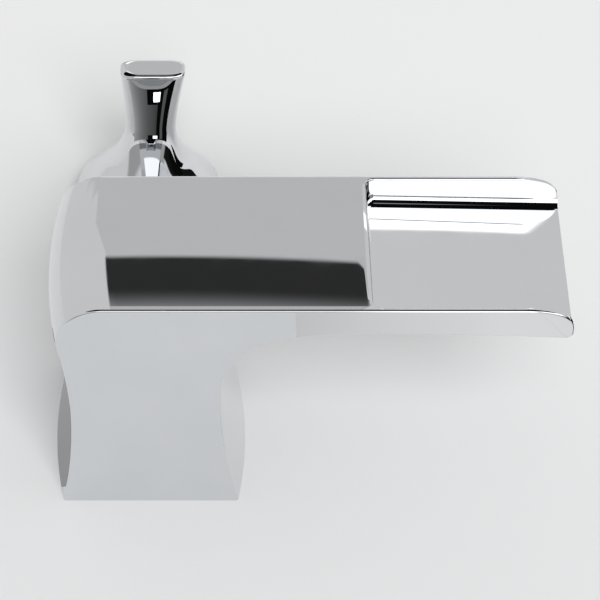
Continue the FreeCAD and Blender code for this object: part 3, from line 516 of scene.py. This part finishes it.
def lipped_hole(radius, lip_radius):
    """The rows of the union nut's hole: wide for the shank's thread, narrow at the tube's lip."""
    radius, lip_radius = radius + NUT_GAP, lip_radius + NUT_GAP
    return ((radius + LEAD_IN, UNION_HEIGHT), (radius, UNION_HEIGHT - LEAD_IN),
            (radius, UNION_LIP), (lip_radius, UNION_LIP), (lip_radius, 0))


# The finishes' noises: their detail, the span of their values that is used, how much finer the
# roughness drifts than the colour, and the relief's depth in millimetres.
NOISE_DETAIL, NOISE_LOW, NOISE_HIGH = 4.0, 0.35, 0.65
ROUGH_FINER, RELIEF_DEPTH = 2.3, 0.02


def finish_nodes(name):
    """A new material and its node tree, with the main shader."""
    material = bpy.data.materials.new(name)
    material.use_nodes = True
    tree = material.node_tree
    return material, tree, tree.nodes["Principled BSDF"]


def feed(tree, socket, value):
    """Sets a socket to a number, or links it to what another node gives."""
    if isinstance(value, (int, float)):
        socket.default_value = value
    else:
        tree.links.new(value, socket)


def sum_of(tree, operation, *values):
    """A sum of the named kind on sockets or numbers."""
    node = tree.nodes.new("ShaderNodeMath")
    node.operation = operation
    for socket, value in zip(node.inputs, values):
        feed(tree, socket, value)
    return node.outputs["Value"]


def axes_of(tree, output):
    """The x, y and z of a coordinate: Object on a piece, or Generated for a way in the world."""
    place = tree.nodes.new("ShaderNodeTexCoord")
    axes = tree.nodes.new("ShaderNodeSeparateXYZ")
    tree.links.new(place.outputs[output], axes.inputs["Vector"])
    return axes.outputs


def value_between(tree, factor, low, high, start=NOISE_LOW, end=NOISE_HIGH, kind="LINEAR"):
    """A number that goes from low to high as a factor goes from start to end."""
    spread = tree.nodes.new("ShaderNodeMapRange")
    spread.interpolation_type = kind
    for name, value in (("From Min", start), ("From Max", end), ("To Min", low), ("To Max", high)):
        spread.inputs[name].default_value = value
    tree.links.new(factor, spread.inputs["Value"])
    return spread.outputs["Result"]


def step_of(tree, value, edge, soft, rising=True):
    """A smooth step across an edge, soft wide."""
    low, high = (0, 1) if rising else (1, 0)
    return value_between(tree, value, low, high, edge - soft / 2, edge + soft / 2, "SMOOTHSTEP")


def colour_between(tree, factor, dark, light, start=NOISE_LOW, end=NOISE_HIGH):
    """A colour that goes from dark to light as a factor goes from start to end."""
    ramp = tree.nodes.new("ShaderNodeValToRGB")
    first, last = ramp.color_ramp.elements
    first.position, last.position = start, end
    first.color, last.color = (*dark, 1), (*light, 1)
    tree.links.new(factor, ramp.inputs["Fac"])
    return ramp.outputs["Color"]


def noise_of(tree, scale, stretch=(1, 1, 1)):
    """A noise over the object's own coordinates, in cells a metre, drawn out by stretch."""
    place = tree.nodes.new("ShaderNodeTexCoord")
    mapping = tree.nodes.new("ShaderNodeMapping")
    mapping.inputs["Scale"].default_value = stretch
    noise = tree.nodes.new("ShaderNodeTexNoise")
    noise.inputs["Scale"].default_value = scale
    noise.inputs["Detail"].default_value = NOISE_DETAIL
    tree.links.new(place.outputs["Object"], mapping.inputs["Vector"])
    tree.links.new(mapping.outputs["Vector"], noise.inputs["Vector"])
    return noise.outputs["Fac"]


def surface_finish(name, dark, light, metal, rough, grain, stretch=(1, 1, 1), bump=0.0, relief=0):
    """A finish whose colour drifts from dark to light and whose roughness drifts with a grain.

    Grain and relief are noise cells a metre; bump is the strength of the relief.
    """
    material, tree, shader = finish_nodes(name)
    shader.inputs["Metallic"].default_value = metal
    drift = noise_of(tree, grain, stretch)
    tree.links.new(colour_between(tree, drift, dark, light), shader.inputs["Base Color"])
    fine_drift = noise_of(tree, grain * ROUGH_FINER, stretch)
    tree.links.new(value_between(tree, fine_drift, *rough), shader.inputs["Roughness"])
    if bump:
        raised = tree.nodes.new("ShaderNodeBump")
        raised.inputs["Strength"].default_value = bump
        raised.inputs["Distance"].default_value = RELIEF_DEPTH * MM
        tree.links.new(noise_of(tree, relief, stretch), raised.inputs["Height"])
        tree.links.new(raised.outputs["Normal"], shader.inputs["Normal"])
    return material


# The finishes, by the record's material slots.
FINISHES = {
    "chrome": surface_finish(
        "polished_chrome", dark=(0.725, 0.74, 0.76), light=(0.745, 0.757, 0.775),
        metal=1.0, rough=(0.006, 0.014), grain=45),
    "brass": surface_finish(
        "machined_brass", dark=(0.71, 0.51, 0.23), light=(0.77, 0.57, 0.28),
        metal=1.0, rough=(0.24, 0.32), grain=60, stretch=(1, 1, 14), bump=0.35, relief=260),
    "steel": surface_finish(
        "brushed_steel", dark=(0.5, 0.5, 0.49), light=(0.64, 0.64, 0.63),
        metal=1.0, rough=(0.26, 0.4), grain=90, stretch=(12, 1, 1), bump=0.3, relief=400),
    "rubber": surface_finish(
        "seal_rubber", dark=(0.018, 0.018, 0.02), light=(0.035, 0.035, 0.037),
        metal=0.0, rough=(0.55, 0.75), grain=300, bump=0.5, relief=1800),
    "plastic_white": surface_finish(
        "white_plastic", dark=(0.74, 0.74, 0.72), light=(0.82, 0.82, 0.8),
        metal=0.0, rough=(0.32, 0.45), grain=120, bump=0.2, relief=1500),
    "plastic_grey": surface_finish(
        "grey_plastic", dark=(0.2, 0.21, 0.22), light=(0.27, 0.28, 0.29),
        metal=0.0, rough=(0.34, 0.48), grain=140, bump=0.25, relief=1500),
    "ceramic": surface_finish(
        "lapped_ceramic", dark=(0.82, 0.81, 0.77), light=(0.9, 0.89, 0.86),
        metal=0.0, rough=(0.1, 0.2), grain=200),
    "copper": surface_finish(
        "drawn_copper", dark=(0.75, 0.36, 0.22), light=(0.82, 0.43, 0.28),
        metal=1.0, rough=(0.22, 0.32), grain=50, stretch=(8, 1, 8), bump=0.25, relief=300),
}


def make_mixer():
    """The dressed pieces, and a finish for every CAD node by its slot in the record."""
    chrome, brass = FINISHES["chrome"], FINISHES["brass"]
    make_spout(chrome)
    make_handle(chrome)
    make_shank(brass)
    make_valve_body(brass)
    make_hex_nut("spout_lock_nut", through_hole(SHANK_RADIUS), brass)
    make_hex_nut("control_lock_nut", through_hole(VALVE_RADIUS), brass)
    make_hex_nut("crossover_union_nut", lipped_hole(SHANK_RADIUS, TUBE_RADIUS), brass)
    for subpart in frame["record"]["subparts"]:
        node = frame["nodes"][subpart["node"]]
        node.data.materials.clear()
        node.data.materials.append(FINISHES[subpart["material_slot"]])


# What the chrome mirrors of the studio. Each card has its side, azimuth span, height span, the
# softness of those two spans' edges, its tone, and how far it leans in azimuth for each degree of
# height above LEAN_FROM. A card covers those before it. Angles are in degrees; azimuth is from +Y
# (back) or -Y (front) towards +X.
STUDIO_CARDS = (
    ("back", 8.6, 75, -5, 52, 4.5, 4, 0.7, 0),
    ("back", -5.6, -2.6, 42.5, 44.8, 0.8, 0.1, 1.8, -10.6),
    ("back", 10.34, 75, 41, 52, 0.3, 1, 0.7, -1.2),
    ("back", -180, 7, 30, 47, 0.2, 0.1, 0.71, 0),
    ("back", -1.62, 7, 44.45, 45.2, 0.12, 0.1, 0.6, 1.17),
    ("back", -0.4, 7, 39.5, 44.5, 1.2, 0.1, 0.6, 2.8),
    ("back", -10.55, 5, 27, 39.6, 4, 0.4, 0.6, 1),
    ("back", -1, 7, 34, 45.2, 0.3, 0.1, 0.6, 0),
    ("back", -1.8, 5.4, 45.2, 49, 0.15, 0.1, 0.03, 0),
    ("back", 5.1, 7, 45.1, 45.6, 0.06, 0.1, 0.58, 1.45),
    ("back", -1.8, 5.4, 46.18, 49.2, 0.15, 0.8, 0.55, 0),
    ("back", -12, 40, 49.2, 53.5, 4, 1, 1.5, 0),
    ("back", -25, 25, -3, 9, 5, 3, 0.25, 0),
    ("back", -9, 20, 20.5, 33, 1.5, 2, 1.7, 0),
    ("front", -60, 30, -5, 24, 10, 6, 0.38, 0),
    ("front", -14, 75, 24, 58, 6, 6, 1.9, 0),
    ("front", 4, 12, -5, 30, 2, 3, 1.9, 0),
    ("front", -20, 30, 45.5, 62, 3, 0.4, 0.004, 0),
    ("back", 57, 155, -8, 15, 4, 2, 0.008, 0),
    ("back", -180, 181, 54, 91, 1, 1, 0.004, 0),
    ("back", -180, 181, 82, 91, 1, 2, 0.3, 0),
)
LEAN_FROM = 45.25
STUDIO_TONE, FILL_TONE, BACKGROUND_TONE = 0.71, 0.62, 0.8

# Small glowing cards close to the mixer that only the chrome mirrors. They are painted reflections:
# painted shade of the floor beside the foot and between the spout and the handle, a painted pool of
# light on the floor before the tip, a painted highlight with its dark frame and streak in the neck,
# and dark patches in the bell and on the far side. Each has x, y and z spans in millimetres, one of
# them nothing wide, and the tones at the left and right edges. LEAST_SPAN is added to the way that a
# tone has to change, because one card has no width in x.
PAINTED_REFLECTION_CARDS = (
    ("foot_shade", (-60, -25), (-24, 45), (0.1, 0.1), 0.32, 0.32),
    ("tip_glow", (50, 120), (-220, -35), (0.1, 0.1), 0.7, 0.89),
    ("tip_glow_end", (120, 260), (-220, -35), (0.1, 0.1), 0.89, 0.89),
    ("neck_shade", (-26, 4), (68, 68), (0, 30.5), 0.4, 0.05),
    ("neck_black", (4, 24), (68, 68), (0, 30.5), 0.003, 0.003),
    ("neck_frame", (-1, 7), (68.1, 68.1), (22.8, 30.5), 0.003, 0.003),
    ("neck_streak", (8, 12), (68.1, 68.1), (0, 29), 0.1, 0.1),
    ("neck_glint", (1.6, 5.2), (68.2, 68.2), (24.2, 29.1), 2.0, 2.0),
    ("bell_black", (170, 700), (-34, 150), (0.1, 0.1), 0.003, 0.003),
    ("far_black", (700, 700), (-600, 100), (0, 160), 0.004, 0.004),
)
LEAST_SPAN = 0.001

# The floor, in metres: its half width, its shaded and lit colours, how far x counts beside y in its
# painted light ramp, and the middle and width of that ramp. The ramp is painted light: the floor is
# painted paler towards the back and the tip, as if lit more there. Then its roughness and the noise
# that moves it.
FLOOR_HALF, FLOOR_SLANT, FLOOR_LIGHT_RAMP = 1.2, 0.5, (0.06, 0.4)
FLOOR_SHADED, FLOOR_LIT = (0.72, 0.727, 0.73), (0.81, 0.813, 0.815)
FLOOR_ROUGH, FLOOR_GRAIN = (0.7, 0.8), 4

# The lamp and the camera, in metres, watts, degrees, and millimetres for the lens and its sensor.
KEY_PLACE, KEY_TARGET, KEY_SIZE, KEY_POWER = (0.75, -3.4, 3.7), (0.05, 0.05, 0), 2.4, 165
CAMERA_PLACE, CAMERA_TILT, CAMERA_SHIFT = (0.00561, -0.68206, 0.76848), 44, 0.225
CAMERA_LENS, CAMERA_SENSOR, CAMERA_NEAR, CAMERA_FAR = 187.55, 36, 0.05, 20


def tone_mix(tree, factor, under, over):
    """The tone under, covered by the tone over as far as the factor says."""
    mix = tree.nodes.new("ShaderNodeMix")
    for name, value in (("Factor_Float", factor), ("A_Float", under), ("B_Float", over)):
        feed(tree, next(item for item in mix.inputs if item.identifier == name), value)
    return next(item for item in mix.outputs if item.identifier == "Result_Float")


def make_studio():
    """The studio round the mixer: an even fill for matt surfaces, and its cards for polished ones."""
    world = bpy.data.worlds.new("studio")
    bpy.context.scene.world = world
    world.use_nodes = True
    tree = world.node_tree
    x, y, z = axes_of(tree, "Generated")
    height = sum_of(tree, "DEGREES", sum_of(tree, "ARCSINE", z))
    forward = sum_of(tree, "MULTIPLY", y, -1.0)
    azimuths = {
        "back": sum_of(tree, "DEGREES", sum_of(tree, "ARCTAN2", x, y)),
        "front": sum_of(tree, "DEGREES", sum_of(tree, "ARCTAN2", x, forward)),
    }
    tone = STUDIO_TONE
    above = sum_of(tree, "SUBTRACT", height, LEAN_FROM)
    for side, left, right, low, high, soft_side, soft_height, card, lean in STUDIO_CARDS:
        azimuth = sum_of(tree, "SUBTRACT", azimuths[side], sum_of(tree, "MULTIPLY", above, lean))
        across = sum_of(tree, "MULTIPLY", step_of(tree, azimuth, left, soft_side),
                        step_of(tree, azimuth, right, soft_side, rising=False))
        upright = sum_of(tree, "MULTIPLY", step_of(tree, height, low, soft_height),
                         step_of(tree, height, high, soft_height, rising=False))
        tone = tone_mix(tree, sum_of(tree, "MULTIPLY", across, upright), tone, card)
    ray = tree.nodes.new("ShaderNodeLightPath")
    seen = tone_mix(tree, ray.outputs["Is Glossy Ray"], FILL_TONE, tone)
    seen = tone_mix(tree, ray.outputs["Is Camera Ray"], seen, BACKGROUND_TONE)
    tree.links.new(seen, tree.nodes["Background"].inputs["Color"])


def floor_finish():
    """The pale floor, with painted light: a little paler towards the back and the tip, as if lit more
    there.
    """
    material, tree, shader = finish_nodes("pale_floor")
    x, y, _ = axes_of(tree, "Object")
    slant = sum_of(tree, "ADD", y, sum_of(tree, "MULTIPLY", x, FLOOR_SLANT))
    # painted light: the floor's colour ramps from shaded to lit along the slant
    drift = step_of(tree, slant, *FLOOR_LIGHT_RAMP)
    tree.links.new(colour_between(tree, drift, FLOOR_SHADED, FLOOR_LIT, 0, 1),
                   shader.inputs["Base Color"])
    tree.links.new(value_between(tree, noise_of(tree, FLOOR_GRAIN), *FLOOR_ROUGH),
                   shader.inputs["Roughness"])
    shader.inputs["Specular IOR Level"].default_value = 0
    return material


def card_finish(name, left, right, tone, end_tone):
    """A glowing card for a painted reflection, whose tone goes evenly from left to right, with
    nothing to show on its back.
    """
    material, tree, shader = finish_nodes(name)
    shade = value_between(tree, axes_of(tree, "Object")["X"], tone, end_tone, left, right)
    tree.links.new(shade, shader.inputs["Emission Color"])
    shader.inputs["Base Color"].default_value = (0, 0, 0, 1)
    shader.inputs["Specular IOR Level"].default_value = 0
    shader.inputs["Emission Strength"].default_value = 1
    faced = tree.nodes.new("ShaderNodeNewGeometry")
    tree.links.new(sum_of(tree, "SUBTRACT", 1.0, faced.outputs["Backfacing"]),
                   shader.inputs["Alpha"])
    return material


def card_corners(x, y, z):
    """A flat card's corners: it faces up if it lies flat, else to the back or to the left."""
    if z[0] == z[1]:
        corners = ((x[0], y[0], z[0]), (x[1], y[0], z[0]), (x[1], y[1], z[0]), (x[0], y[1], z[0]))
    elif y[0] == y[1]:
        corners = ((x[1], y[0], z[0]), (x[0], y[0], z[0]), (x[0], y[0], z[1]), (x[1], y[0], z[1]))
    else:
        corners = ((x[0], y[1], z[0]), (x[0], y[0], z[0]), (x[0], y[0], z[1]), (x[0], y[1], z[1]))
    return (np.array(corners) * MM).tolist()


def stage_sheet(name, corners, material):
    """A flat four-cornered sheet of the studio, which isn't part of the mixer."""
    mesh = bpy.data.meshes.new(name)
    mesh.from_pydata(corners, [], [(0, 1, 2, 3)])
    mesh.materials.append(material)
    sheet = placed(name, mesh)
    return sheet


def make_near_cards():
    """The cards close to the mixer, painted reflections of shade and light, seen in polished surfaces
    and nowhere else.
    """
    for name, x, y, z, tone, end_tone in PAINTED_REFLECTION_CARDS:
        finish = card_finish(name, x[0] * MM, (x[1] + LEAST_SPAN) * MM, tone, end_tone)
        sheet = stage_sheet(name, card_corners(x, y, z), finish)
        sheet.visible_camera = sheet.visible_diffuse = sheet.visible_shadow = False


def make_key_light():
    """A soft square lamp, turned to its target, that mirrors don't show."""
    lamp = bpy.data.lights.new("key", "AREA")
    lamp.shape, lamp.size, lamp.energy = "SQUARE", KEY_SIZE, KEY_POWER
    holder = placed("key", lamp)
    holder.location = KEY_PLACE
    way = np.subtract(KEY_TARGET, KEY_PLACE)
    tip = math.acos(-way[2] / np.linalg.norm(way))
    holder.rotation_euler = (tip, 0, math.atan2(way[1], way[0]) - math.pi / 2)
    holder.visible_glossy = False


def make_camera():
    """The camera at the photograph's viewing angle."""
    camera = bpy.data.cameras.new("camera")
    camera.sensor_fit, camera.sensor_width, camera.lens = "HORIZONTAL", CAMERA_SENSOR, CAMERA_LENS
    camera.shift_x, camera.clip_start, camera.clip_end = CAMERA_SHIFT, CAMERA_NEAR, CAMERA_FAR
    holder = placed("camera", camera)
    holder.location = CAMERA_PLACE
    holder.rotation_euler = (math.radians(CAMERA_TILT), 0, 0)
    bpy.context.scene.camera = holder


def make_stage():
    """The pale floor, the studio's cards, the soft light and the camera."""
    half = FLOOR_HALF
    stage_sheet("floor", [(-half, -half, 0), (half, -half, 0), (half, half, 0), (-half, half, 0)],
                floor_finish())
    make_near_cards()
    make_studio()
    make_key_light()
    make_camera()
    bpy.context.scene.view_settings.view_transform = "Standard"


make_mixer()
make_stage()
